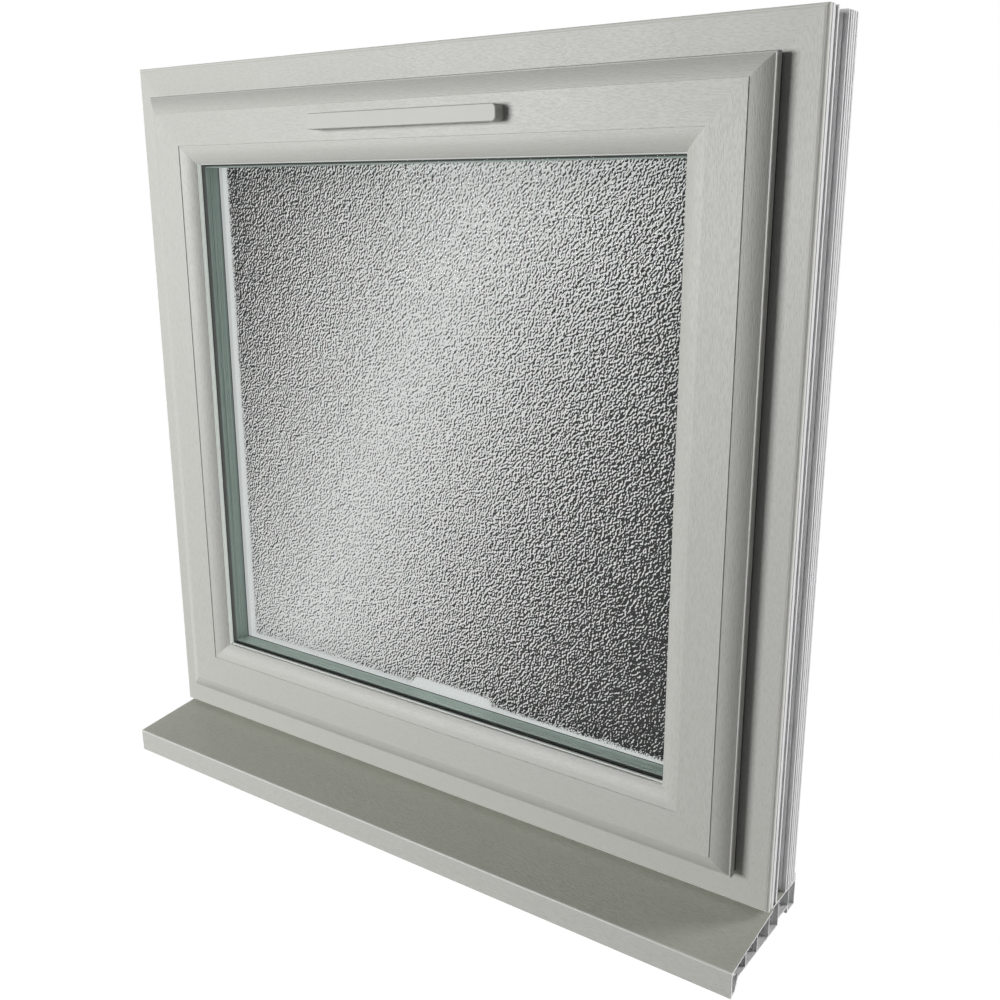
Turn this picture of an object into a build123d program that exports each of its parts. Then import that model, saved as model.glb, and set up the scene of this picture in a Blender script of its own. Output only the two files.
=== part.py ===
# Top-hung casement window: foiled PVC frame and sash, 28 mm sealed unit, projecting cill.
# Millimetres. X runs right seen from outside, Y runs from outside (-) to the room (+), Z is up.
# The origin is mid width, on the front face plane of the frame, at the flat underside of the cill.
import os

from build123d import *

os.makedirs("parts", exist_ok=True)

# Overall frame
frame_width = 870.0
frame_height = 840.0
frame_depth = 70.0
cill_thickness = 30.0
frame_bottom = cill_thickness
frame_top = frame_bottom + frame_height
left = -frame_width / 2
right = frame_width / 2

# Frame section, insets measured from the outer edge of the frame
front_leg = 43.0
inner_upstand = 62.0
upstand_front = 48.0
frame_corner_radius = 4.0
frame_wall = 2.8
web = 1.8
frame_web_front = 20.6
frame_web_back = 45.4
shallow_groove = 1.6
channel_depth = 7.0

# Grooves in the outer side of the frame: start depth, end depth, how deep.
side_grooves = [
    (6.4, 8.6, 1.0),
    (12.9, 20.2, shallow_groove),
    (23.1, 45.6, 3.8),
    (25.6, 43.0, channel_depth),
    (47.9, 51.7, 1.2),
    (54.1, 56.4, 1.2),
    (59.5, 61.8, 1.2),
    (65.0, 67.3, 1.2),
]

# Sash section, same inset scale. Depths are Y, so the front faces are negative.
lip_inset = 35.2
lip_front = -14.4
lip_back = -6.2
lip_flat = 1.2
lip_round = 0.7
sash_front = -24.0
sash_back = 46.0
sash_body_inset = 55.6
quirk_step = 0.9
quirk_run = 0.3
field_inner = 93.0
rebate_floor = 93.4
sight_line = 113.4
sight_front = -15.4
sight_arris = 0.5
nib_back = -11.5
sash_wall = 2.8
sash_web_front = -9.5
sash_web_back = 24.2
hardware_groove_front = 8.0
hardware_groove_back = 24.0
hardware_groove_depth = 4.0
moulding_wall = 2.4

# Slope of each moulding where it leaves the flat field, as run and rise
outer_spring = (1.0, 0.14)
inner_spring = (1.0, 0.04)

# Sealed unit
pane = 4.0
spacer_width = 20.0
glass_front = -8.5
glass_inset = 98.4
spacer_inset_outer = 105.0
spacer_inset_inner = 112.6
spacer_groove_width = 1.1
spacer_groove_depth = 0.6
spacer_grooves = [4.6, 9.2, 12.6, 16.0]
butyl = 0.5
cavity_front = glass_front + pane
cavity_back = cavity_front + spacer_width
glass_back = cavity_back + pane

# Gaskets
gasket_recess = 1.4
gasket_heel = 6.0
glazing_gasket_inset = 106.0
bead_gasket_thickness = 3.0
inner_gasket_outer = 56.5
inner_gasket_inner = 60.5

# Beads
bead_front = glass_back + bead_gasket_thickness
bead_flat_end = 32.0
bead_back_height = 100.5
bead_wall = 2.0

# Cill section
cill_nose_front = -82.5
cill_nose_top = 12.0
cill_nose_round = 1.4
cill_nose_tip = -15.3
cill_nose_heel = (-72.8, -12.0)
cill_rear = 74.0
cill_upstand_height = 7.2
cill_upstand_bevel = (0.7, 1.5)
cill_wall = 1.5
cill_web = 1.3
cill_bed_front = -67.1
cill_step_y = 13.5
cill_step_height = 3.9
cill_webs = [-50.3, -22.8, 5.6]
cill_recess_front = 30.2
cill_recess_top = 7.3
cill_foot_front = 54.2
cill_foot_back = 57.3
cill_rear_lift = 0.8

# Vent on the top rail
hood_length = 248.0
hood_height = 16.6
hood_depth = 13.8
hood_corner = 5.0
hood_bevel = 0.8
hood_centre_x = 8.2
hood_inset = 74.0
hood_wall = 1.5
hood_slots = 8
hood_slot_pitch = 27.0
hood_slot_length = 22.0
hood_slot_width = 5.0
vent_inset = 78.0
vent_length = 262.0
vent_height = 21.0
vent_depth = 11.0
vent_corner = 3.0
vent_bevel = 1.2
flap_margin = 30.0
flap_height = 14.0
flap_depth = 4.0
flap_tab = (36.0, 3.0, 3.0)

# Handle on the bottom rail
handle_x = 17.0
handle_height = 78.0
handle_z = frame_bottom + handle_height
handle_base_length = 66.0
handle_base_width = 28.0
handle_base_depth = 10.0
handle_base_corner = 9.0
handle_base_bevel = 2.0
neck_radius = 11.0
lever_reach = 114.0
lever_heel = 15.0
lever_width = 25.0
lever_corner = 11.0
lever_bevel = 3.0
lever_gap = 27.0
lever_thickness = 14.0
lever_front = sash_back + lever_gap
lever_back = lever_front + lever_thickness
lock_radius = 7.0
lock_height = 2.5
lock_bevel = 0.8

# One plane for each length: local x is the inset towards the middle, local y is the depth.
head_plane = Plane(origin=(left, 0, frame_top), x_dir=(0, 0, -1), z_dir=(1, 0, 0))
foot_plane = Plane(origin=(right, 0, frame_bottom), x_dir=(0, 0, 1), z_dir=(-1, 0, 0))
left_plane = Plane(origin=(left, 0, frame_bottom), x_dir=(1, 0, 0), z_dir=(0, 0, 1))
right_plane = Plane(origin=(right, 0, frame_top), x_dir=(-1, 0, 0), z_dir=(0, 0, -1))


# A block that keeps one side of the frame and cuts its two ends at 45 degrees.
def mitre_block(side):
    reach = sight_line + frame_wall
    deep = 2 * frame_depth
    outline = {
        "head": [(left, frame_top), (right, frame_top),
                 (right - reach, frame_top - reach), (left + reach, frame_top - reach)],
        "foot": [(right, frame_bottom), (left, frame_bottom),
                 (left + reach, frame_bottom + reach), (right - reach, frame_bottom + reach)],
        "left": [(left, frame_bottom), (left, frame_top),
                 (left + reach, frame_top - reach), (left + reach, frame_bottom + reach)],
        "right": [(right, frame_top), (right, frame_bottom),
                  (right - reach, frame_bottom + reach), (right - reach, frame_top - reach)],
    }[side]
    with BuildPart() as block:
        with BuildSketch(Plane.XZ.offset(-deep)):
            with BuildLine():
                Polyline(*outline, close=True)
            make_face()
        extrude(amount=2 * deep)
    return block.part


# A rectangular chamber or groove in a section sketch.
def box_hole(u0, u1, v0, v1):
    with Locations(((u0 + u1) / 2, (v0 + v1) / 2)):
        Rectangle(u1 - u0, v1 - v0, mode=Mode.SUBTRACT)


# A chamber of any outline in a section sketch.
def shaped_hole(*points):
    with BuildLine() as outline:
        Polyline(*points, close=True)
    make_face(outline.edges(), mode=Mode.SUBTRACT)


def frame_section(plane):
    with BuildSketch(plane) as section:
        with BuildLine():
            Polyline(
                (frame_corner_radius, 0),
                (front_leg, 0),
                (front_leg, upstand_front),
                (inner_upstand, upstand_front),
                (inner_upstand, frame_depth),
                (0, frame_depth),
                (0, frame_corner_radius),
            )
            TangentArc((0, frame_corner_radius), (frame_corner_radius, 0), tangent=(0, -1))
        make_face()
        for groove_start, groove_end, groove_depth in side_grooves:
            box_hole(0, groove_depth, groove_start, groove_end)
        chamber_outer = shallow_groove + frame_wall
        chamber_inner = front_leg - frame_wall
        box_hole(chamber_outer, chamber_inner, frame_wall, frame_web_front)
        box_hole(channel_depth + frame_wall, chamber_inner, frame_web_front + web, frame_web_back)
        box_hole(chamber_outer, chamber_inner, frame_web_back + web, frame_depth - frame_wall)
        box_hole(chamber_inner + web, inner_upstand - frame_wall,
                 upstand_front + frame_wall, frame_depth - frame_wall)
    return section.sketch


def sash_section(plane):
    quirk_outer = (sash_body_inset - quirk_run, sash_front + quirk_step)
    quirk_inner = (field_inner + quirk_run, sash_front + quirk_step)
    lip_end = (lip_inset + lip_round + lip_flat, lip_front)
    sight_end = (sight_line - sight_arris, sight_front)
    with BuildSketch(plane) as section:
        with BuildLine():
            Polyline((lip_inset, lip_back), (lip_inset, lip_front + lip_round),
                     (lip_inset + lip_round, lip_front), lip_end)
            TangentArc(quirk_outer, lip_end, tangent=(-outer_spring[0], outer_spring[1]))
            Polyline(quirk_outer, (sash_body_inset, sash_front), (field_inner, sash_front), quirk_inner)
            TangentArc(quirk_inner, sight_end, tangent=inner_spring)
            Polyline(
                sight_end,
                (sight_line, sight_front + sight_arris),
                (sight_line, nib_back),
                (rebate_floor, nib_back),
                (rebate_floor, sash_back),
                (sash_body_inset, sash_back),
                (sash_body_inset, lip_back),
                (lip_inset, lip_back),
            )
        make_face()
        chamber_outer = sash_body_inset + sash_wall
        chamber_inner = rebate_floor - sash_wall
        box_hole(sash_body_inset, sash_body_inset + hardware_groove_depth,
                 hardware_groove_front, hardware_groove_back)
        box_hole(chamber_outer, chamber_inner, sash_front + sash_wall, sash_web_front)
        box_hole(chamber_outer + hardware_groove_depth, chamber_inner, sash_web_front + web, sash_web_back)
        box_hole(chamber_outer, chamber_inner, sash_web_back + web, sash_back - sash_wall)
        shaped_hole(
            (lip_inset + lip_flat + sash_wall, lip_back - moulding_wall),
            (sash_body_inset - moulding_wall, lip_back - moulding_wall),
            (sash_body_inset - moulding_wall, sash_front + quirk_step + 1.5 * moulding_wall),
            (lip_inset + lip_flat + sash_wall, lip_front + 0.8 * moulding_wall),
        )
        shaped_hole(
            (rebate_floor + moulding_wall, nib_back - moulding_wall),
            (rebate_floor + moulding_wall, sash_front + quirk_step + moulding_wall),
            (sight_line - 5 * moulding_wall, sash_front + quirk_step + 1.5 * moulding_wall),
            (sight_line - 2 * moulding_wall, sight_front + 0.4 * moulding_wall),
        )
    return section.sketch


def bead_section(plane):
    with BuildSketch(plane) as section:
        with BuildLine():
            Polyline((rebate_floor, bead_front), (sight_line, bead_front), (sight_line, bead_flat_end))
            TangentArc((sight_line, bead_flat_end), (bead_back_height, sash_back), tangent=(0, 1))
            Polyline((bead_back_height, sash_back), (rebate_floor, sash_back), (rebate_floor, bead_front))
        make_face()
        shaped_hole(
            (rebate_floor + bead_wall, bead_front + bead_wall),
            (sight_line - bead_wall, bead_front + bead_wall),
            (sight_line - bead_wall, bead_flat_end),
            (sight_line - 4 * bead_wall, sash_back - 3.5 * bead_wall),
            (rebate_floor + bead_wall, sash_back - 1.5 * bead_wall),
        )
    return section.sketch


def box_section(plane, u0, u1, v0, v1):
    with BuildSketch(plane) as section:
        with Locations(((u0 + u1) / 2, (v0 + v1) / 2)):
            Rectangle(u1 - u0, v1 - v0)
    return section.sketch


def weather_gasket_section(plane):
    return box_section(plane, lip_inset + gasket_recess, lip_inset + gasket_heel, lip_back, 0)


def inner_gasket_section(plane):
    return box_section(plane, inner_gasket_outer, inner_gasket_inner, sash_back, upstand_front)


def glazing_gasket_section(plane):
    return box_section(plane, glazing_gasket_inset, sight_line, nib_back, glass_front)


def bead_gasket_section(plane):
    return box_section(plane, glazing_gasket_inset, sight_line, glass_back, bead_front)


# The metal bar between the panes, with fine grooves along the side that shows.
def spacer_section(plane):
    with BuildSketch(plane) as section:
        with Locations(((spacer_inset_outer + spacer_inset_inner) / 2, (cavity_front + cavity_back) / 2)):
            Rectangle(spacer_inset_inner - spacer_inset_outer, spacer_width - 2 * butyl)
        for groove in spacer_grooves:
            box_hole(spacer_inset_inner - spacer_groove_depth, spacer_inset_inner,
                     cavity_front + groove, cavity_front + groove + spacer_groove_width)
    return section.sketch


# Black sealant: a strip on each pane and a fill behind the spacer bar.
def seal_section(plane):
    with BuildSketch(plane) as section:
        with BuildLine():
            Polyline(
                (glass_inset, cavity_front),
                (spacer_inset_inner, cavity_front),
                (spacer_inset_inner, cavity_front + butyl),
                (spacer_inset_outer, cavity_front + butyl),
                (spacer_inset_outer, cavity_back - butyl),
                (spacer_inset_inner, cavity_back - butyl),
                (spacer_inset_inner, cavity_back),
                (glass_inset, cavity_back),
                close=True,
            )
        make_face()
    return section.sketch


# The same section run round all four sides and mitred at the corners.
def ring(section_of):
    with BuildPart() as whole:
        for plane, length, side in (
            (head_plane, frame_width, "head"),
            (foot_plane, frame_width, "foot"),
            (left_plane, frame_height, "left"),
            (right_plane, frame_height, "right"),
        ):
            with BuildPart(mode=Mode.PRIVATE) as run:
                extrude(section_of(plane), amount=length)
                add(mitre_block(side), mode=Mode.INTERSECT)
            add(run.part)
    return whole.part


# Frame
with BuildPart() as frame_head:
    extrude(frame_section(head_plane), amount=frame_width)
    add(mitre_block("head"), mode=Mode.INTERSECT)

with BuildPart() as frame_bottom_rail:
    extrude(frame_section(foot_plane), amount=frame_width)
    add(mitre_block("foot"), mode=Mode.INTERSECT)

with BuildPart() as frame_jamb_left:
    extrude(frame_section(left_plane), amount=frame_height)
    add(mitre_block("left"), mode=Mode.INTERSECT)

with BuildPart() as frame_jamb_right:
    extrude(frame_section(right_plane), amount=frame_height)
    add(mitre_block("right"), mode=Mode.INTERSECT)

# Sash
with BuildPart() as sash_top_rail:
    extrude(sash_section(head_plane), amount=frame_width)
    add(mitre_block("head"), mode=Mode.INTERSECT)

with BuildPart() as sash_bottom_rail:
    extrude(sash_section(foot_plane), amount=frame_width)
    add(mitre_block("foot"), mode=Mode.INTERSECT)

with BuildPart() as sash_stile_left:
    extrude(sash_section(left_plane), amount=frame_height)
    add(mitre_block("left"), mode=Mode.INTERSECT)

with BuildPart() as sash_stile_right:
    extrude(sash_section(right_plane), amount=frame_height)
    add(mitre_block("right"), mode=Mode.INTERSECT)

# Glazing beads, inside
with BuildPart() as bead_top:
    extrude(bead_section(head_plane), amount=frame_width)
    add(mitre_block("head"), mode=Mode.INTERSECT)

with BuildPart() as bead_bottom:
    extrude(bead_section(foot_plane), amount=frame_width)
    add(mitre_block("foot"), mode=Mode.INTERSECT)

with BuildPart() as bead_left:
    extrude(bead_section(left_plane), amount=frame_height)
    add(mitre_block("left"), mode=Mode.INTERSECT)

with BuildPart() as bead_right:
    extrude(bead_section(right_plane), amount=frame_height)
    add(mitre_block("right"), mode=Mode.INTERSECT)

# Gaskets
with BuildPart() as weather_gasket:
    add(ring(weather_gasket_section))

with BuildPart() as inner_gasket:
    add(ring(inner_gasket_section))

with BuildPart() as glazing_gasket:
    add(ring(glazing_gasket_section))

with BuildPart() as bead_gasket:
    add(ring(bead_gasket_section))

# Sealed unit
glass_width = frame_width - 2 * glass_inset
glass_height = frame_height - 2 * glass_inset
glass_middle = (frame_top + frame_bottom) / 2

with BuildPart() as glass_outer:
    with Locations((0, glass_front + pane / 2, glass_middle)):
        Box(glass_width, pane, glass_height)

with BuildPart() as glass_inner:
    with Locations((0, cavity_back + pane / 2, glass_middle)):
        Box(glass_width, pane, glass_height)

with BuildPart() as spacer_bar:
    add(ring(spacer_section))

with BuildPart() as edge_seal:
    add(ring(seal_section))

# Cill: the top slopes down from a step under the frame to the nose.
step_foot = (cill_step_y - 0.5, cill_thickness - cill_step_height)
nose_top_back = (cill_nose_front + cill_nose_round, cill_nose_top + cill_nose_round)
cill_slope = (step_foot[1] - nose_top_back[1]) / (step_foot[0] - nose_top_back[0])
upstand_top = cill_thickness + cill_upstand_height


# Height of the underside of the sloping top at depth y.
def ceiling(y):
    return nose_top_back[1] + cill_slope * (y - nose_top_back[0]) - cill_wall


# A chamber under the sloping top, between two depths.
def sloping_chamber(y0, y1):
    shaped_hole((y0, cill_wall), (y1, cill_wall), (y1, ceiling(y1)), (y0, ceiling(y0)))


with BuildPart() as cill:
    with BuildSketch(Plane.YZ.offset(left)):
        with BuildLine():
            Line((cill_nose_front, cill_nose_top), (cill_nose_front + cill_nose_round / 2, cill_nose_tip))
            Polyline(
                (cill_nose_front + cill_nose_round / 2, cill_nose_tip),
                cill_nose_heel,
                (cill_bed_front, 0),
                (cill_recess_front, 0),
                (cill_recess_front, cill_recess_top),
                (cill_foot_front, cill_recess_top),
                (cill_foot_front, 0),
                (cill_foot_back, 0),
                (cill_foot_back, cill_rear_lift),
                (cill_rear, cill_rear_lift),
                (cill_rear, upstand_top - cill_upstand_bevel[1]),
                (cill_rear - cill_upstand_bevel[0], upstand_top),
                (frame_depth + 0.5, upstand_top),
                (frame_depth + 0.5, cill_thickness),
                (cill_step_y + 0.5, cill_thickness),
                step_foot,
                nose_top_back,
            )
            TangentArc((cill_nose_front, cill_nose_top), nose_top_back, tangent=(0, 1))
        make_face()
        nose_wall_back = cill_bed_front - cill_web
        shaped_hole(
            (cill_nose_front + 1.4 * cill_wall, ceiling(cill_nose_front + 1.4 * cill_wall) - 2 * cill_wall),
            (cill_nose_front + 1.8 * cill_wall, cill_nose_tip + 2.6 * cill_wall),
            (cill_nose_heel[0] - 1.4 * cill_wall, cill_nose_heel[1] + 0.6 * cill_wall),
            (nose_wall_back - 0.2 * cill_wall, cill_wall),
            (nose_wall_back - 0.2 * cill_wall, ceiling(nose_wall_back) - 5 * cill_wall),
        )
        shaped_hole(
            (cill_nose_front + 2.2 * cill_wall, ceiling(cill_nose_front + 2.2 * cill_wall) - 0.4 * cill_wall),
            (nose_wall_back + 0.4 * cill_web, cill_wall + 1.6 * cill_wall),
            (nose_wall_back + 0.8 * cill_web, cill_wall),
            (cill_webs[0] - cill_web / 2, cill_wall),
            (cill_webs[0] - cill_web / 2, ceiling(cill_webs[0] - cill_web / 2)),
        )
        for y0, y1 in zip(cill_webs[:-1], cill_webs[1:]):
            sloping_chamber(y0 + cill_web / 2, y1 - cill_web / 2)
        shaped_hole(
            (cill_webs[-1] + cill_web / 2, cill_wall),
            (cill_recess_front - cill_web, cill_wall),
            (cill_recess_front - cill_web, cill_thickness - cill_wall),
            (cill_step_y + cill_wall, cill_thickness - cill_wall),
            (cill_step_y + 0.5 * cill_wall, ceiling(cill_step_y)),
            (cill_webs[-1] + cill_web / 2, ceiling(cill_webs[-1] + cill_web / 2)),
        )
        box_hole(cill_recess_front, cill_foot_front + cill_web,
                 cill_recess_top + cill_wall, cill_thickness - cill_wall)
        box_hole(cill_foot_front + 2 * cill_web, cill_rear - cill_wall,
                 cill_rear_lift + cill_wall, cill_thickness - cill_wall)
    extrude(amount=frame_width)

# Vent hood outside, on the top rail of the sash
hood_z = frame_top - hood_inset
with BuildPart() as vent_hood:
    with BuildSketch(Plane.XZ.offset(-sash_front)):
        with Locations((hood_centre_x, hood_z)):
            RectangleRounded(hood_length, hood_height, hood_corner)
    extrude(amount=hood_depth)
    chamfer(vent_hood.faces().sort_by(Axis.Y)[0].edges(), hood_bevel)
    with BuildSketch(Plane.XZ.offset(-sash_front)):
        with Locations((hood_centre_x, hood_z)):
            Rectangle(hood_length - 2 * hood_corner, hood_height - 2 * hood_wall)
    extrude(amount=hood_depth - hood_wall, mode=Mode.SUBTRACT)
    with BuildSketch(Plane.XY.offset(hood_z - hood_height / 2)):
        with Locations((hood_centre_x, sash_front - hood_depth / 2)):
            with GridLocations(hood_slot_pitch, hood_slot_width, hood_slots, 1):
                Rectangle(hood_slot_length, hood_slot_width)
    extrude(amount=hood_wall, mode=Mode.SUBTRACT)

# Vent inside, on the top rail of the sash
vent_z = frame_top - vent_inset
with BuildPart() as vent_body:
    with BuildSketch(Plane.XZ.offset(-sash_back)):
        with Locations((hood_centre_x, vent_z)):
            RectangleRounded(vent_length, vent_height, vent_corner)
    extrude(amount=-vent_depth)
    chamfer(vent_body.faces().sort_by(Axis.Y)[-1].edges(), vent_bevel)

flap_face = sash_back + vent_depth + flap_depth
with BuildPart() as vent_flap:
    with BuildSketch(Plane.XZ.offset(-(sash_back + vent_depth))):
        with Locations((hood_centre_x, vent_z)):
            Rectangle(vent_length - flap_margin, flap_height)
    extrude(amount=-flap_depth)
    chamfer(vent_flap.faces().sort_by(Axis.Y)[-1].edges(), vent_bevel)
    with Locations((hood_centre_x, flap_face + flap_tab[1] / 2, vent_z - flap_height / 4)):
        Box(*flap_tab)

# Handle inside, on the bottom rail of the sash
with BuildPart() as handle_base:
    with BuildSketch(Plane.XZ.offset(-sash_back)):
        with Locations((handle_x, handle_z)):
            RectangleRounded(handle_base_length, handle_base_width, handle_base_corner)
    extrude(amount=-handle_base_depth)
    chamfer(handle_base.faces().sort_by(Axis.Y)[-1].edges(), handle_base_bevel)

with BuildPart() as handle_lever:
    with BuildSketch(Plane.XZ.offset(-(sash_back + handle_base_depth))):
        with Locations((handle_x, handle_z)):
            Circle(neck_radius)
    extrude(amount=-(lever_back - sash_back - handle_base_depth - lever_bevel))
    with BuildSketch(Plane.XZ.offset(-lever_front)):
        with Locations((handle_x - (lever_reach - lever_heel) / 2, handle_z)):
            RectangleRounded(lever_reach + lever_heel, lever_width, lever_corner)
    extrude(amount=-(lever_back - lever_front))
    chamfer(handle_lever.faces().sort_by(Axis.Y)[-1].edges(), lever_bevel)

with BuildPart() as handle_lock:
    with BuildSketch(Plane.XZ.offset(-lever_back)):
        with Locations((handle_x, handle_z)):
            Circle(lock_radius)
    extrude(amount=-lock_height)
    chamfer(handle_lock.faces().sort_by(Axis.Y)[-1].edges(), lock_bevel)

frame_head.part.label = "frame_head"
export_step(frame_head.part, "parts/frame_head.step")
frame_bottom_rail.part.label = "frame_bottom_rail"
export_step(frame_bottom_rail.part, "parts/frame_bottom_rail.step")
frame_jamb_left.part.label = "frame_jamb_left"
export_step(frame_jamb_left.part, "parts/frame_jamb_left.step")
frame_jamb_right.part.label = "frame_jamb_right"
export_step(frame_jamb_right.part, "parts/frame_jamb_right.step")
sash_top_rail.part.label = "sash_top_rail"
export_step(sash_top_rail.part, "parts/sash_top_rail.step")
sash_bottom_rail.part.label = "sash_bottom_rail"
export_step(sash_bottom_rail.part, "parts/sash_bottom_rail.step")
sash_stile_left.part.label = "sash_stile_left"
export_step(sash_stile_left.part, "parts/sash_stile_left.step")
sash_stile_right.part.label = "sash_stile_right"
export_step(sash_stile_right.part, "parts/sash_stile_right.step")
bead_top.part.label = "bead_top"
export_step(bead_top.part, "parts/bead_top.step")
bead_bottom.part.label = "bead_bottom"
export_step(bead_bottom.part, "parts/bead_bottom.step")
bead_left.part.label = "bead_left"
export_step(bead_left.part, "parts/bead_left.step")
bead_right.part.label = "bead_right"
export_step(bead_right.part, "parts/bead_right.step")
weather_gasket.part.label = "weather_gasket"
export_step(weather_gasket.part, "parts/weather_gasket.step")
inner_gasket.part.label = "inner_gasket"
export_step(inner_gasket.part, "parts/inner_gasket.step")
glazing_gasket.part.label = "glazing_gasket"
export_step(glazing_gasket.part, "parts/glazing_gasket.step")
bead_gasket.part.label = "bead_gasket"
export_step(bead_gasket.part, "parts/bead_gasket.step")
glass_outer.part.label = "glass_outer"
export_step(glass_outer.part, "parts/glass_outer.step")
glass_inner.part.label = "glass_inner"
export_step(glass_inner.part, "parts/glass_inner.step")
spacer_bar.part.label = "spacer_bar"
export_step(spacer_bar.part, "parts/spacer_bar.step")
edge_seal.part.label = "edge_seal"
export_step(edge_seal.part, "parts/edge_seal.step")
cill.part.label = "cill"
export_step(cill.part, "parts/cill.step")
vent_hood.part.label = "vent_hood"
export_step(vent_hood.part, "parts/vent_hood.step")
vent_body.part.label = "vent_body"
export_step(vent_body.part, "parts/vent_body.step")
vent_flap.part.label = "vent_flap"
export_step(vent_flap.part, "parts/vent_flap.step")
handle_base.part.label = "handle_base"
export_step(handle_base.part, "parts/handle_base.step")
handle_lever.part.label = "handle_lever"
export_step(handle_lever.part, "parts/handle_lever.step")
handle_lock.part.label = "handle_lock"
export_step(handle_lock.part, "parts/handle_lock.step")
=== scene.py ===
import math

import bpy
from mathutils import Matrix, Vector


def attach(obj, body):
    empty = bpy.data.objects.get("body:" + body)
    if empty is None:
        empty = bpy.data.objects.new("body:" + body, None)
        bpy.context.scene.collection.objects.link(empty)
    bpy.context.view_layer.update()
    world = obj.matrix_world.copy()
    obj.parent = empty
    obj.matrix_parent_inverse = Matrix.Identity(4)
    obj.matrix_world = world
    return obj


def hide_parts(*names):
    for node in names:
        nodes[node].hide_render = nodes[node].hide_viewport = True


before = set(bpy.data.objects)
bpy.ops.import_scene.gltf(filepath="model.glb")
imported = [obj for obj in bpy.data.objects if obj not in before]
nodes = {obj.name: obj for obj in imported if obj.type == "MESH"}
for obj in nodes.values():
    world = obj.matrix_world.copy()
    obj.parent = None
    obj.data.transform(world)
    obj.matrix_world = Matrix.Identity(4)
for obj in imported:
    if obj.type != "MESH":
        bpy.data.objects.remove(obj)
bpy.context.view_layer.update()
mm = 0.001
print("frame loaded:", len(nodes), "nodes")


def pickNone():
    for thing in bpy.context.selected_objects:
        thing.select_set(False)


def newMaterial(name):
    material = bpy.data.materials.new(name)
    material.use_nodes = True
    tree = material.node_tree
    tree.nodes.clear()
    output = tree.nodes.new("ShaderNodeOutputMaterial")
    shader = tree.nodes.new("ShaderNodeBsdfPrincipled")
    tree.links.new(shader.outputs["BSDF"], output.inputs["Surface"])
    return material, tree, shader


def addNode(tree, kind, **values):
    node = tree.nodes.new(kind)
    for key, value in values.items():
        setattr(node, key, value)
    return node


def mathNode(tree, operation, first, second=None, third=None, clamp=False):
    node = addNode(tree, "ShaderNodeMath", operation=operation, use_clamp=clamp)
    for index, value in enumerate((first, second, third)):
        if value is None:
            continue
        if isinstance(value, (int, float)):
            node.inputs[index].default_value = value
        else:
            tree.links.new(value, node.inputs[index])
    return node.outputs[0]


def objectCoordinates(tree):
    return addNode(tree, "ShaderNodeTexCoord").outputs["Object"]


def separate(tree, vector):
    node = addNode(tree, "ShaderNodeSeparateXYZ")
    tree.links.new(vector, node.inputs[0])
    return node.outputs


def mapped(tree, vector, scale=(1, 1, 1), rotation=(0, 0, 0), location=(0, 0, 0), kind="POINT"):
    node = addNode(tree, "ShaderNodeMapping", vector_type=kind)
    node.inputs["Scale"].default_value = scale
    node.inputs["Rotation"].default_value = rotation
    node.inputs["Location"].default_value = location
    tree.links.new(vector, node.inputs["Vector"])
    return node.outputs[0]


def noise(tree, vector, scale, detail=2.0, roughness=0.5, distortion=0.0):
    node = addNode(tree, "ShaderNodeTexNoise")
    node.inputs["Scale"].default_value = scale
    node.inputs["Detail"].default_value = detail
    node.inputs["Roughness"].default_value = roughness
    node.inputs["Distortion"].default_value = distortion
    tree.links.new(vector, node.inputs["Vector"])
    return node.outputs["Fac"]


def ramp(tree, value, low, high, lowColour=(0, 0, 0), highColour=(1, 1, 1), blend="LINEAR"):
    node = addNode(tree, "ShaderNodeValToRGB")
    node.color_ramp.interpolation = blend
    first, last = node.color_ramp.elements
    first.position = low
    last.position = high
    first.color = (*lowColour, 1)
    last.color = (*highColour, 1)
    tree.links.new(value, node.inputs[0])
    return node.outputs[0]


def rise(tree, value, low, high):
    return mathNode(tree, "DIVIDE", mathNode(tree, "SUBTRACT", value, low), high - low, clamp=True)


def distanceFrom(tree, value, middle):
    return mathNode(tree, "ABSOLUTE", mathNode(tree, "SUBTRACT", value, middle))


def mixColour(tree, factor, first, second):
    node = addNode(tree, "ShaderNodeMix", data_type="RGBA")
    for socket, value in ((node.inputs[0], factor), (node.inputs[6], first), (node.inputs[7], second)):
        if isinstance(value, (int, float)):
            socket.default_value = value
        elif isinstance(value, tuple):
            socket.default_value = (*value, 1)
        else:
            tree.links.new(value, socket)
    return node.outputs[2]


def shaded(colour, share):
    return tuple(value * share for value in colour)


def unevenGloss(tree, shader, patch, roughness, span):
    rough = mathNode(tree, "MULTIPLY_ADD", patch, span, roughness - span / 2)
    tree.links.new(rough, shader.inputs["Roughness"])


def bump(tree, shader, height, strength, distance):
    node = addNode(tree, "ShaderNodeBump")
    node.inputs["Strength"].default_value = strength
    node.inputs["Distance"].default_value = distance
    tree.links.new(height, node.inputs["Height"])
    tree.links.new(node.outputs[0], shader.inputs["Normal"])


# Bare white plastic
white = {
    "colour": (0.80, 0.80, 0.805),
    "shade": 0.96,
    "roughness": 0.32,
    "roughSpan": 0.1,
    "patch": 14.0,
    "patchDetail": 3.0,
}


def whiteMaterial(name):
    material, tree, shader = newMaterial(name)
    patch = noise(tree, objectCoordinates(tree), white["patch"], white["patchDetail"])
    tone = mixColour(tree, patch, shaded(white["colour"], white["shade"]), white["colour"])
    tree.links.new(tone, shader.inputs["Base Color"])
    unevenGloss(tree, shader, patch, white["roughness"], white["roughSpan"])
    return material


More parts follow.
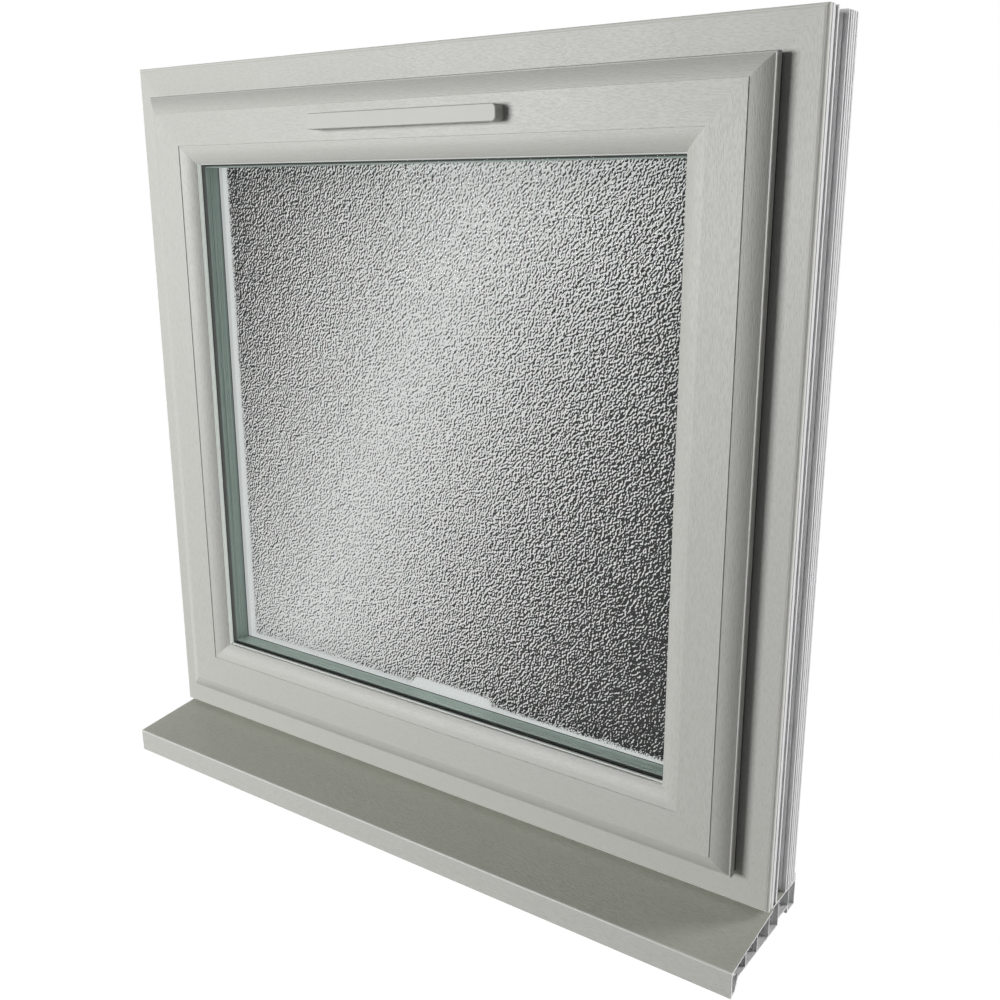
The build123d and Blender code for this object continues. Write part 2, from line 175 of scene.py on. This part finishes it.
# Grained foil on the outer faces of frame, sash and cill
foil = {
    "colour": (0.55, 0.55, 0.518),
    "dark": (0.495, 0.495, 0.464),
    "roughness": 0.48,
    "roughSpan": 0.12,
    "worn": 9.0,
    "wornDetail": 3.0,
    "grainLength": 11 * mm,
    "grainWidth": 0.85 * mm,
    "streakDetail": 2.0,
    "streakGrit": 0.55,
    "streakBend": 0.08,
    "streakShare": 0.64,
    "poreLength": 6 * mm,
    "poreWidth": 0.85 * mm,
    "poreDetail": 1.0,
    "poreSpan": (0.34, 0.50),
    "poreShare": 0.36,
    "grainTone": {"X": (0.26, 0.86), "Z": (0.42, 0.70), "cill": (0.40, 0.72)},
    "bump": 1.0,
    "bumpDepth": {"X": 0.2 * mm, "Z": 0.22 * mm},
}

# Depth along Y to which the foil reaches; behind it the plastic is white
foilDepth = {"frame": 6.4 * mm, "sash": -6.4 * mm}

# The foil is painted paler on the frame's rounded outer edge, a painted highlight that lifts the shade on
# the rounding
frameEdgeHighlight = {
    "halfWidth": 435 * mm,
    "middle": 450 * mm,
    "halfHeight": 420 * mm,
    "round": 2.8 * mm,
    "colour": (0.76, 0.76, 0.715),
}

# The overlap lip along the top of the sash is painted darker than the rest of its foil, as painted shade
topLipShade = {"foot": 832.8 * mm, "colour": (0.36, 0.36, 0.34)}

# The foil on the cill covers its sloping top and its nose
cillFoil = {
    "noseFront": -82.5 * mm,
    "topFoot": (-81.1 * mm, 13.4 * mm),
    "slope": 0.13496,
    "skin": 0.5 * mm,
    "halfWidth": 434.9 * mm,
    # Painted highlight: a light line along the arris between the cill's top and its nose
    "arris": (-80.9 * mm, 11.8 * mm),
    "arrisHighlightColour": (0.68, 0.68, 0.65),
    # Painted shade: the sloping top is painted darker than the nose, with a yellower tint of its own
    "topShadeColour": (0.505, 0.52, 0.455),
    "topShadeDark": (0.43, 0.443, 0.385),
}

# Inside this opening and behind this depth the sash's sight wall is bare pale plastic; its level walls are
# painted darker, as painted shade
sightWall = {
    "halfWidth": 321.95 * mm,
    "middle": 450 * mm,
    "halfHeight": 306.95 * mm,
    "depth": -14.9 * mm,
    "colour": (0.76, 0.81, 0.765),
    "levelShadeColour": (0.66, 0.68, 0.65),
}

# Strength of the painted glow, light that no lamp gives, on the pale plastic round the opening and on the
# pale bead and handle shapes on the inner pane
paintedGlow = {"wall": 0.50, "bead": 0.54}


def alongScale(along, length, width):
    scale = [1 / width] * 3
    scale["XYZ".index(along)] = 1 / length
    return tuple(scale)


def grainHeight(tree, coordinates, along):
    # Fine streaks along the length, with short pores between them
    streakPlace = mapped(tree, coordinates, alongScale(along, foil["grainLength"], foil["grainWidth"]))
    streaks = noise(tree, streakPlace, 1.0, foil["streakDetail"], foil["streakGrit"], foil["streakBend"])
    porePlace = mapped(tree, coordinates, alongScale(along, foil["poreLength"], foil["poreWidth"]))
    pores = ramp(tree, noise(tree, porePlace, 1.0, foil["poreDetail"]), *foil["poreSpan"])
    streakPart = mathNode(tree, "MULTIPLY", streaks, foil["streakShare"])
    return mathNode(tree, "MULTIPLY_ADD", pores, foil["poreShare"], streakPart)


def foilMask(tree, coordinates, kind):
    x, y, z = separate(tree, coordinates)
    if kind != "cill":
        return mathNode(tree, "LESS_THAN", y, foilDepth[kind])
    footY, footZ = cillFoil["topFoot"]
    base = footZ - cillFoil["skin"] - footY * cillFoil["slope"]
    top = mathNode(tree, "GREATER_THAN", z, mathNode(tree, "MULTIPLY_ADD", y, cillFoil["slope"], base))
    nose = mathNode(tree, "LESS_THAN", y, cillFoil["noseFront"] + 2 * cillFoil["skin"])
    inside = mathNode(tree, "LESS_THAN", mathNode(tree, "ABSOLUTE", x), cillFoil["halfWidth"])
    return mathNode(tree, "MULTIPLY", mathNode(tree, "MAXIMUM", top, nose), inside)


def edgeMask(tree, coordinates):
    place = separate(tree, coordinates)
    across = mathNode(tree, "ABSOLUTE", place["X"])
    height = distanceFrom(tree, place["Z"], frameEdgeHighlight["middle"])
    sideways = mathNode(tree, "GREATER_THAN", across, frameEdgeHighlight["halfWidth"] - frameEdgeHighlight["round"])
    upwards = mathNode(tree, "GREATER_THAN", height, frameEdgeHighlight["halfHeight"] - frameEdgeHighlight["round"])
    return mathNode(tree, "MAXIMUM", sideways, upwards)


def sightMask(tree, coordinates):
    # The narrow wall between the sash's moulding and the glass
    x, y, z = separate(tree, coordinates)
    across = mathNode(tree, "ABSOLUTE", x)
    height = distanceFrom(tree, z, sightWall["middle"])
    opening = mathNode(tree, "MULTIPLY", mathNode(tree, "LESS_THAN", across, sightWall["halfWidth"]),
                       mathNode(tree, "LESS_THAN", height, sightWall["halfHeight"]))
    behind = mathNode(tree, "MULTIPLY", mathNode(tree, "GREATER_THAN", y, sightWall["depth"]),
                      mathNode(tree, "LESS_THAN", y, foilDepth["sash"]))
    return mathNode(tree, "MULTIPLY", opening, behind)


def paintSightWall(tree, shader, coordinates, colour, along):
    # Only the upright walls glow with painted light; the level walls take the darker colour of painted shade
    wall = sightMask(tree, coordinates)
    if along == "X":
        return mixColour(tree, wall, colour, sightWall["levelShadeColour"])
    tree.links.new(mixColour(tree, wall, (0, 0, 0), sightWall["colour"]), shader.inputs["Emission Color"])
    shader.inputs["Emission Strength"].default_value = paintedGlow["wall"]
    return mixColour(tree, wall, colour, sightWall["colour"])


def foilMaterial(kind, along):
    material, tree, shader = newMaterial(f"{kind}Foil{along}")
    coordinates = objectCoordinates(tree)
    place = separate(tree, coordinates)
    mask = foilMask(tree, coordinates, kind)
    grain = grainHeight(tree, coordinates, along)
    tone = ramp(tree, grain, *foil["grainTone"]["cill" if kind == "cill" else along])
    foilColour = mixColour(tree, tone, foil["dark"], foil["colour"])
    if kind == "frame":
        # Painted highlight: paler foil on the frame's rounded outer edge
        foilColour = mixColour(tree, edgeMask(tree, coordinates), foilColour, frameEdgeHighlight["colour"])
    # The cill's sloping top takes its painted shade, with a yellower tint
    if kind == "cill":
        topShadeColour = mixColour(tree, tone, cillFoil["topShadeDark"], cillFoil["topShadeColour"])
        onTop = mathNode(tree, "GREATER_THAN", place["Y"], cillFoil["topFoot"][0])
        foilColour = mixColour(tree, onTop, foilColour, topShadeColour)
    colour = mixColour(tree, mask, white["colour"], foilColour)
    if kind == "sash":
        colour = paintSightWall(tree, shader, coordinates, colour, along)
    if kind == "sash" and along == "X":
        # Painted shade on the top lip of the sash
        lip = mathNode(tree, "GREATER_THAN", place["Z"], topLipShade["foot"])
        colour = mixColour(tree, mathNode(tree, "MULTIPLY", lip, mask), colour, topLipShade["colour"])
    # Painted highlight along the cill's front arris
    if kind == "cill":
        front, foot = cillFoil["arris"]
        arris = mathNode(tree, "MULTIPLY", mathNode(tree, "LESS_THAN", place["Y"], front),
                         mathNode(tree, "GREATER_THAN", place["Z"], foot))
        colour = mixColour(tree, arris, colour, cillFoil["arrisHighlightColour"])
    tree.links.new(colour, shader.inputs["Base Color"])
    worn = noise(tree, coordinates, foil["worn"], foil["wornDetail"])
    smoothest = foil["roughness"] - foil["roughSpan"] / 2
    foilRough = mathNode(tree, "MULTIPLY_ADD", worn, foil["roughSpan"], smoothest)
    difference = mathNode(tree, "MULTIPLY", mathNode(tree, "SUBTRACT", foilRough, white["roughness"]), mask)
    tree.links.new(mathNode(tree, "ADD", difference, white["roughness"]), shader.inputs["Roughness"])
    bump(tree, shader, mathNode(tree, "MULTIPLY", grain, mask), foil["bump"], foil["bumpDepth"][along])
    return material


# Surface shared by the hood, the dark and bead gaskets, the sealant, the handle and its lock
moulded = {
    "patch": 40.0,
    "patchDetail": 4.0,
    "roughSpan": 0.1,
    "speckle": 900.0,
    "speckleDetail": 2.0,
    "bump": 0.4,
    "bumpDepth": 0.05 * mm,
}

# The hood's bevelled edge is painted darker as a thin outline of painted shade, up to its rounded right end
hood = {
    "colour": (0.54, 0.54, 0.515),
    "patchShade": 0.97,
    "shade": 0.72,
    "front": -37.7 * mm,
    "back": -36.9 * mm,
    "rightEnd": 125 * mm,
    "roughness": 0.52,
}


def mouldedSurface(tree, shader, coordinates, patch, roughness):
    unevenGloss(tree, shader, patch, roughness, moulded["roughSpan"])
    speckle = noise(tree, coordinates, moulded["speckle"], moulded["speckleDetail"])
    bump(tree, shader, speckle, moulded["bump"], moulded["bumpDepth"])


def plainMaterial(name, colour, roughness, metallic=0.0, spread=0.12):
    material, tree, shader = newMaterial(name)
    coordinates = objectCoordinates(tree)
    patch = noise(tree, coordinates, moulded["patch"], moulded["patchDetail"])
    tree.links.new(mixColour(tree, patch, shaded(colour, 1 - spread), colour), shader.inputs["Base Color"])
    shader.inputs["Metallic"].default_value = metallic
    mouldedSurface(tree, shader, coordinates, patch, roughness)
    return material


def hoodMaterial():
    material, tree, shader = newMaterial("hoodGrey")
    coordinates = objectCoordinates(tree)
    place = separate(tree, coordinates)
    patch = noise(tree, coordinates, moulded["patch"], moulded["patchDetail"])
    face = mixColour(tree, patch, shaded(hood["colour"], hood["patchShade"]), hood["colour"])
    bevelled = mathNode(tree, "MULTIPLY", mathNode(tree, "GREATER_THAN", place["Y"], hood["front"]),
                        mathNode(tree, "LESS_THAN", place["Y"], hood["back"]))
    leftOfEnd = mathNode(tree, "LESS_THAN", place["X"], hood["rightEnd"])
    shadeOutline = mathNode(tree, "MULTIPLY", bevelled, leftOfEnd)
    edge = shaded(hood["colour"], hood["shade"])
    tree.links.new(mixColour(tree, shadeOutline, face, edge), shader.inputs["Base Color"])
    mouldedSurface(tree, shader, coordinates, patch, hood["roughness"])
    return material


# Spacer bar: in the photo its sight face stands about 4 mm inside the sash's opening
spacerRing = {
    "inner": (317.7 * mm, 302.3 * mm),
    "width": 12.3 * mm,
    "front": -4.55 * mm,
    "back": 15.45 * mm,
    "grooves": (0.1 * mm, 4.7 * mm, 8.1 * mm, 11.5 * mm),
    "grooveWidth": 1.1 * mm,
    "grooveDepth": 0.6 * mm,
}

# Its metal is painted lighter on the level lengths than on the upright ones: lit and shaded copies of one
# metal, as painted light and shade
spacerMetal = {
    "upright": ((0.28, 0.355, 0.325), (0.36, 0.44, 0.405)),
    "level": ((0.40, 0.49, 0.45), (0.50, 0.59, 0.55)),
    "lineScale": (2.0, 420.0, 2.0),
    "lineDetail": 1.0,
    "lineSpan": (0.35, 0.65),
    "patch": 60.0,
    "patchDetail": 3.0,
    "metallic": 0.3,
    "smoothest": 0.34,
    "roughSpan": 0.1,
}

# Butyl seal darkens the spacer bar's front face, and a thin line at its back
butyl = {
    "colour": (0.135, 0.14, 0.138),
    # On the level lengths the seal is painted darker, as painted shade
    "levelShadeColour": (0.06, 0.068, 0.065),
    "faceDepth": -4.2 * mm,
    "fade": 1.6 * mm,
    "back": 13.4 * mm,
}

# Front gasket: a pale rounded lip, a little proud of the sash's opening
gasketRing = {
    "inner": (321.2 * mm, 305.3 * mm),
    "width": 8.0 * mm,
    "front": -11.45 * mm,
    "back": -8.55 * mm,
    "round": 0.5 * mm,
    "segments": 3,
    "shade": 0.94,
    "patch": 120.0,
    "roughness": 0.5,
}


def levelMask(tree, coordinates, ring):
    # How far out of a ring's opening a point lies, and whether it is on the ring's level lengths
    place = separate(tree, coordinates)
    halfX, halfZ = ring["inner"]
    sideways = mathNode(tree, "SUBTRACT", mathNode(tree, "ABSOLUTE", place["X"]), halfX)
    above = mathNode(tree, "SUBTRACT", distanceFrom(tree, place["Z"], sightWall["middle"]), halfZ)
    return mathNode(tree, "MAXIMUM", sideways, above), mathNode(tree, "GREATER_THAN", above, sideways)


def spacerMaterial():
    material, tree, shader = newMaterial("spacerMetal")
    coordinates = objectCoordinates(tree)
    y = separate(tree, coordinates)["Y"]
    outward, level = levelMask(tree, coordinates, spacerRing)
    fade = mathNode(tree, "SUBTRACT", 1.0, rise(tree, outward, 0.0, butyl["fade"]))
    behind = mathNode(tree, "GREATER_THAN", y, butyl["faceDepth"])
    bare = mathNode(tree, "MULTIPLY", mathNode(tree, "MAXIMUM", behind, fade),
                    mathNode(tree, "LESS_THAN", y, butyl["back"]))
    linePlace = mapped(tree, coordinates, spacerMetal["lineScale"])
    lines = ramp(tree, noise(tree, linePlace, 1.0, spacerMetal["lineDetail"]), *spacerMetal["lineSpan"])
    uprightMetal = mixColour(tree, lines, *spacerMetal["upright"])
    levelMetal = mixColour(tree, lines, *spacerMetal["level"])
    # Painted light and shade: lighter metal on the level lengths
    metal = mixColour(tree, level, uprightMetal, levelMetal)
    seal = mixColour(tree, level, butyl["colour"], butyl["levelShadeColour"])
    tree.links.new(mixColour(tree, bare, seal, metal), shader.inputs["Base Color"])
    shader.inputs["Metallic"].default_value = spacerMetal["metallic"]
    patch = noise(tree, coordinates, spacerMetal["patch"], spacerMetal["patchDetail"])
    rough = mathNode(tree, "MULTIPLY_ADD", patch, spacerMetal["roughSpan"], spacerMetal["smoothest"])
    tree.links.new(rough, shader.inputs["Roughness"])
    return material


def glazingGasketMaterial():
    material, tree, shader = newMaterial("glazingGasket")
    coordinates = objectCoordinates(tree)
    level = levelMask(tree, coordinates, gasketRing)[1]
    patch = noise(tree, coordinates, gasketRing["patch"])
    light = mixColour(tree, patch, shaded(sightWall["colour"], gasketRing["shade"]), sightWall["colour"])
    # Level lengths take the darker colour of painted shade; upright lengths glow with painted light
    tree.links.new(mixColour(tree, level, light, sightWall["levelShadeColour"]), shader.inputs["Base Color"])
    tree.links.new(mixColour(tree, level, light, (0, 0, 0)), shader.inputs["Emission Color"])
    shader.inputs["Emission Strength"].default_value = paintedGlow["wall"]
    shader.inputs["Roughness"].default_value = gasketRing["roughness"]
    return material


# Outer pane: its index is well under real glass, which would mirror the white studio
outerPane = {"colour": (0.975, 0.98, 0.975), "index": 1.04}

# Stipple relief of the inner pane, painted into its colour: a painted reflection, bright along a ridge that
# leans across the pane, and painted emboss shade from the relief
stipple = {
    "cell": 2.0 * mm,
    "stretch": 1.4,
    "tilt": math.radians(38),
    "shift": 0.36,
    "detail": 0.2,
    "grit": 0.5,
    "bend": 0.35,
    "gain": 7.6,
    "ridgeFoot": (60 * mm, 690 * mm),
    "ridgeLean": 0.5,
    "ridgeSoft": 20 * mm,
    "ridgeHeight": 1.5,
    "fall": 5.4,
    "dark": 0.03,
    "light": 0.77,
    # Painted light: near the top of the pane the light tone rises to topLight, lifting the shade the sash
    # casts there
    "topLight": 1.0,
    "topSpan": (740 * mm, 750 * mm),
    "bump": 0.5,
    "bumpDepth": 0.3 * mm,
    "roughness": 0.6,
    "specular": 0.3,
}

# The white bead and the handle are painted as pale shapes on the front of the inner pane, glowing with
# painted light, with painted shade in a ripple and near the left edge
pale = {
    "colour": (0.20, 0.212, 0.21),
    "light": (0.97, 1.0, 0.995),
    "rippleGain": 2.0,
    "rippleMiddle": 0.5,
    "rippleShade": 0.88,
    "left": -304.0 * mm,
    "foot": 152.8 * mm,
    "frontDepth": 17.5 * mm,
    "handleMiddle": (27 * mm, 149 * mm),
    "handleHalf": (49 * mm, 2 * mm),
    "handleCorner": 10.5 * mm,
    "waver": 12.0 * mm,
    "nearEdge": -312.0 * mm,
    "nearShade": 0.74,
}


def clearGlass():
    material, tree, shader = newMaterial("clearGlass")
    shader.inputs["Base Color"].default_value = (*outerPane["colour"], 1)
    shader.inputs["Roughness"].default_value = 0.0
    shader.inputs["IOR"].default_value = outerPane["index"]
    shader.inputs["Transmission Weight"].default_value = 1.0
    return material


def reliefNoise(tree, coordinates, shift):
    size = stipple["cell"]
    turned = mapped(tree, coordinates, (size, size, size * stipple["stretch"]), (0, stipple["tilt"], 0),
                    kind="TEXTURE")
    moved = mapped(tree, turned, location=(shift, 0, 0))
    return noise(tree, moved, 1.0, stipple["detail"], stipple["grit"], stipple["bend"])


def paintedReflection(tree, x, z):
    # Height of the painted reflection above the leaning bright ridge, falling off on both sides of it
    footX, footZ = stipple["ridgeFoot"]
    ridge = mathNode(tree, "MULTIPLY_ADD", z, stipple["ridgeLean"], footX - footZ * stipple["ridgeLean"])
    away = mathNode(tree, "SUBTRACT", x, ridge)
    soft = stipple["ridgeSoft"]
    squared = mathNode(tree, "MULTIPLY_ADD", away, away, soft * soft)
    distance = mathNode(tree, "SUBTRACT", mathNode(tree, "SQRT", squared), soft)
    return mathNode(tree, "MULTIPLY_ADD", distance, -stipple["fall"], stipple["ridgeHeight"])


def stippleTone(tree, value, light):
    return ramp(tree, value, 0.0, 1.0, (stipple["dark"],) * 3, (light,) * 3, "EASE")


def beyond(tree, value, middle, half):
    # How far a value lies outside a span, and zero inside it
    outside = mathNode(tree, "SUBTRACT", distanceFrom(tree, value, middle), half)
    return mathNode(tree, "MAXIMUM", outside, 0.0)


def paleMask(tree, x, y, z, reliefShade):
    waver = mathNode(tree, "MULTIPLY", reliefShade, pale["waver"])
    wavyX = mathNode(tree, "ADD", x, waver)
    wavyZ = mathNode(tree, "ADD", z, waver)
    atLeft = mathNode(tree, "LESS_THAN", wavyX, pale["left"])
    atFoot = mathNode(tree, "LESS_THAN", wavyZ, pale["foot"])
    middleX, middleZ = pale["handleMiddle"]
    halfX, halfZ = pale["handleHalf"]
    outX = beyond(tree, wavyX, middleX, halfX)
    outZ = beyond(tree, wavyZ, middleZ, halfZ)
    squared = mathNode(tree, "MULTIPLY_ADD", outX, outX, mathNode(tree, "MULTIPLY", outZ, outZ))
    handle = mathNode(tree, "LESS_THAN", mathNode(tree, "SQRT", squared), pale["handleCorner"])
    shape = mathNode(tree, "MAXIMUM", mathNode(tree, "MAXIMUM", atLeft, atFoot), handle)
    front = mathNode(tree, "LESS_THAN", y, pale["frontDepth"])
    return mathNode(tree, "MULTIPLY", shape, front)


def paleGlow(tree, x, reliefShade):
    ripple = mathNode(tree, "MULTIPLY_ADD", reliefShade, pale["rippleGain"], pale["rippleMiddle"], clamp=True)
    light = mixColour(tree, ripple, shaded(pale["light"], pale["rippleShade"]), pale["light"])
    near = mathNode(tree, "LESS_THAN", x, pale["nearEdge"])
    return mixColour(tree, near, light, shaded(pale["light"], pale["nearShade"]))


def stippledGlass():
    material, tree, shader = newMaterial("stippledGlass")
    coordinates = objectCoordinates(tree)
    x, y, z = separate(tree, coordinates)
    here = reliefNoise(tree, coordinates, stipple["shift"])
    there = reliefNoise(tree, coordinates, -stipple["shift"])
    # Difference of two shifted relief noises, painted into the colour as emboss shade
    reliefShade = mathNode(tree, "SUBTRACT", here, there)
    value = mathNode(tree, "MULTIPLY_ADD", reliefShade, stipple["gain"], paintedReflection(tree, x, z))
    tone = mixColour(tree, rise(tree, z, *stipple["topSpan"]), stippleTone(tree, value, stipple["light"]),
                     stippleTone(tree, value, stipple["topLight"]))
    shape = paleMask(tree, x, y, z, reliefShade)
    light = paleGlow(tree, x, reliefShade)
    tree.links.new(mixColour(tree, shape, tone, pale["colour"]), shader.inputs["Base Color"])
    # Painted glow on the pale shapes
    tree.links.new(mixColour(tree, shape, (0, 0, 0), light), shader.inputs["Emission Color"])
    shader.inputs["Emission Strength"].default_value = paintedGlow["bead"]
    shader.inputs["Roughness"].default_value = stipple["roughness"]
    shader.inputs["Specular IOR Level"].default_value = stipple["specular"]
    bump(tree, shader, here, stipple["bump"], stipple["bumpDepth"])
    return material


materials = {
    "frameX": foilMaterial("frame", "X"),
    "frameZ": foilMaterial("frame", "Z"),
    "sashX": foilMaterial("sash", "X"),
    "sashZ": foilMaterial("sash", "Z"),
    "cill": foilMaterial("cill", "X"),
    "beadWhite": whiteMaterial("beadWhite"),
    "ventWhite": whiteMaterial("ventWhite"),
    "hood": hoodMaterial(),
    "gasket": plainMaterial("blackGasket", (0.018, 0.018, 0.018), 0.55),
    "beadGasket": plainMaterial("beadGasket", (0.30, 0.31, 0.30), 0.5, spread=0.06),
    "glazingGasket": glazingGasketMaterial(),
    "spacer": spacerMaterial(),
    "seal": plainMaterial("blackSealant", (0.012, 0.013, 0.013), 0.6),
    "handle": plainMaterial("handleWhite", (0.84, 0.84, 0.83), 0.25, spread=0.04),
    "lock": plainMaterial("lockSteel", (0.6, 0.6, 0.6), 0.3, 1.0),
    "clear": clearGlass(),
    "stippled": stippledGlass(),
}
print("materials made:", len(materials))

finish = {
    "frame_head": "frameX",
    "frame_bottom_rail": "frameX",
    "frame_jamb_left": "frameZ",
    "frame_jamb_right": "frameZ",
    "sash_top_rail": "sashX",
    "sash_bottom_rail": "sashX",
    "sash_stile_left": "sashZ",
    "sash_stile_right": "sashZ",
    "bead_top": "beadWhite",
    "bead_bottom": "beadWhite",
    "bead_left": "beadWhite",
    "bead_right": "beadWhite",
    "glass_outer": "clear",
    "glass_inner": "stippled",
    "spacer_bar": "spacer",
    "edge_seal": "seal",
    "weather_gasket": "gasket",
    "inner_gasket": "gasket",
    "glazing_gasket": "glazingGasket",
    "bead_gasket": "beadGasket",
    "cill": "cill",
    "vent_hood": "hood",
    "vent_body": "ventWhite",
    "vent_flap": "ventWhite",
    "handle_base": "handle",
    "handle_lever": "handle",
    "handle_lock": "lock",
}
for name, key in finish.items():
    node = nodes[name]
    node.data.materials.clear()
    node.data.materials.append(materials[key])
print("finishes assigned")

# A ring's face whose normal has more than this along Y is at its front or back
frontTurn = 0.5


def pickFaces(thing, wanted):
    # Ends in edit mode with just the wanted faces selected
    bpy.ops.object.mode_set(mode="EDIT")
    bpy.ops.mesh.select_mode(type="FACE")
    bpy.ops.mesh.select_all(action="DESELECT")
    bpy.ops.object.mode_set(mode="OBJECT")
    for face in thing.data.polygons:
        face.select = wanted(face)
    bpy.ops.object.mode_set(mode="EDIT")


def facesOpening(face, ring):
    halfX, halfZ = ring["inner"]
    height = abs(face.center.z - sightWall["middle"])
    return abs(face.normal.y) < frontTurn and abs(face.center.x) < halfX + mm and height < halfZ + mm


def addRing(name, ring):
    pickNone()
    depth = ring["back"] - ring["front"]
    halfX, halfZ = (half + ring["width"] for half in ring["inner"])
    bpy.ops.mesh.primitive_cube_add(size=1, location=(0, ring["front"] + depth / 2, sightWall["middle"]),
                                    scale=(2 * halfX, depth, 2 * halfZ))
    thing = bpy.context.active_object
    thing.name = name
    bpy.ops.object.transform_apply(location=True, rotation=True, scale=True)
    pickFaces(thing, lambda face: abs(face.normal.y) > frontTurn)
    bpy.ops.mesh.inset(thickness=ring["width"])
    bpy.ops.mesh.bridge_edge_loops()
    bpy.ops.mesh.select_all(action="SELECT")
    bpy.ops.mesh.normals_make_consistent(inside=False)
    bpy.ops.object.mode_set(mode="OBJECT")
    return thing


def cutGrooves(thing, ring):
    bpy.ops.object.mode_set(mode="EDIT")
    for start in ring["grooves"]:
        for depth in (start, start + ring["grooveWidth"]):
            bpy.ops.mesh.select_all(action="SELECT")
            bpy.ops.mesh.bisect(plane_co=(0, depth, 0), plane_no=(0, 1, 0))

    def inGroove(face):
        near = any(start < face.center.y < start + ring["grooveWidth"] for start in ring["grooves"])
        return near and facesOpening(face, ring)

    pickFaces(thing, inGroove)
    bpy.ops.mesh.extrude_region_shrink_fatten(
        TRANSFORM_OT_shrink_fatten={"value": -ring["grooveDepth"], "use_even_offset": True})
    bpy.ops.object.mode_set(mode="OBJECT")


def roundLip(thing, ring):
    pickFaces(thing, lambda face: facesOpening(face, ring))
    bpy.ops.mesh.region_to_loop()
    bpy.ops.mesh.bevel(offset=ring["round"], segments=ring["segments"], affect="EDGES")
    bpy.ops.object.mode_set(mode="OBJECT")


def finishRing(thing, material, node):
    thing.data.materials.append(materials[material])
    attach(thing, "root")
    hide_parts(node)
    print(thing.name, "made:", len(thing.data.polygons), "faces")


spacerBar = addRing("spacerBar", spacerRing)
cutGrooves(spacerBar, spacerRing)
finishRing(spacerBar, "spacer", "spacer_bar")

frontGasket = addRing("frontGasket", gasketRing)
roundLip(frontGasket, gasketRing)
finishRing(frontGasket, "glazingGasket", "glazing_gasket")

# Camera, solved from the straight edges of frame, sash and sight lines in the photograph
camera = {
    "place": (0.78815, -0.95110, 0.72248),
    "turn": (74.843, 0.132, 35.469),
    "lens": 40.82,
    "sensor": 36.0,
}

lights = {
    "key": {
        "place": (-1.61, -3.0, 0.88),
        "aim": (0.4, 0, 0.6),
        "size": (1.5, 1.1),
        "power": 108,
        "gloss": True,
    },
    "rim": {
        "place": (2.6, 2.0, 1.0),
        "aim": (0.3, 0, 0.45),
        "size": (1.0, 1.6),
        "power": 100,
        "gloss": False,
    },
    "back": {
        "place": (-1.3, 3.2, 1.3),
        "aim": (0, 0, 0.4),
        "size": (1.8, 1.8),
        "power": 45,
        "gloss": False,
    },
}

world = {"ambient": 0.03, "background": 1.0}

stage = {
    "floorLevel": -0.62,
    "size": 40.0,
    "colour": (0.25, 0.25, 0.25),
    "whiteShare": 0.92,
    "glow": 1.09,
}


def makeCamera():
    data = bpy.data.cameras.new("camera")
    data.lens = camera["lens"]
    data.sensor_width = camera["sensor"]
    thing = bpy.data.objects.new("camera", data)
    bpy.context.scene.collection.objects.link(thing)
    thing.location = camera["place"]
    thing.rotation_euler = tuple(math.radians(angle) for angle in camera["turn"])
    bpy.context.scene.camera = thing


def makeLight(name, values):
    data = bpy.data.lights.new(name, "AREA")
    data.shape = "RECTANGLE"
    data.size, data.size_y = values["size"]
    data.energy = values["power"]
    thing = bpy.data.objects.new(name, data)
    bpy.context.scene.collection.objects.link(thing)
    thing.visible_glossy = values["gloss"]
    thing.visible_transmission = False
    thing.location = values["place"]
    direction = Vector(values["aim"]) - Vector(values["place"])
    thing.rotation_euler = direction.to_track_quat("-Z", "Y").to_euler()


def seenByEyeOrGloss(tree):
    # The camera, gloss and transmission see the white background
    path = tree.nodes.new("ShaderNodeLightPath")
    seen = mathNode(tree, "MAXIMUM", path.outputs["Is Camera Ray"], path.outputs["Is Transmission Ray"])
    return mathNode(tree, "MAXIMUM", seen, path.outputs["Is Glossy Ray"])


def makeWorld():
    space = bpy.data.worlds.new("studio")
    bpy.context.scene.world = space
    space.use_nodes = True
    tree = space.node_tree
    tree.nodes.clear()
    output = tree.nodes.new("ShaderNodeOutputWorld")
    background = tree.nodes.new("ShaderNodeBackground")
    strength = mathNode(tree, "MULTIPLY_ADD", seenByEyeOrGloss(tree), world["background"] - world["ambient"],
                        world["ambient"])
    background.inputs["Color"].default_value = (1, 1, 1, 1)
    tree.links.new(strength, background.inputs["Strength"])
    tree.links.new(background.outputs[0], output.inputs["Surface"])


def makeFloor():
    pickNone()
    bpy.ops.mesh.primitive_plane_add(size=stage["size"], location=(0, 0, stage["floorLevel"]))
    floor = bpy.context.active_object
    floor.name = "floor"
    material = bpy.data.materials.new("floorWhite")
    material.use_nodes = True
    tree = material.node_tree
    tree.nodes.clear()
    output = tree.nodes.new("ShaderNodeOutputMaterial")
    diffuse = tree.nodes.new("ShaderNodeBsdfDiffuse")
    diffuse.inputs["Color"].default_value = (*stage["colour"], 1)
    glow = tree.nodes.new("ShaderNodeEmission")
    glow.inputs["Strength"].default_value = stage["glow"]
    share = mathNode(tree, "MULTIPLY", seenByEyeOrGloss(tree), stage["whiteShare"])
    mix = tree.nodes.new("ShaderNodeMixShader")
    tree.links.new(share, mix.inputs[0])
    tree.links.new(diffuse.outputs[0], mix.inputs[1])
    tree.links.new(glow.outputs[0], mix.inputs[2])
    tree.links.new(mix.outputs[0], output.inputs["Surface"])
    floor.data.materials.append(material)


makeCamera()
for name, values in lights.items():
    makeLight(name, values)
makeWorld()
makeFloor()
bpy.context.scene.view_settings.view_transform = "Standard"
print("camera, lights and floor made")
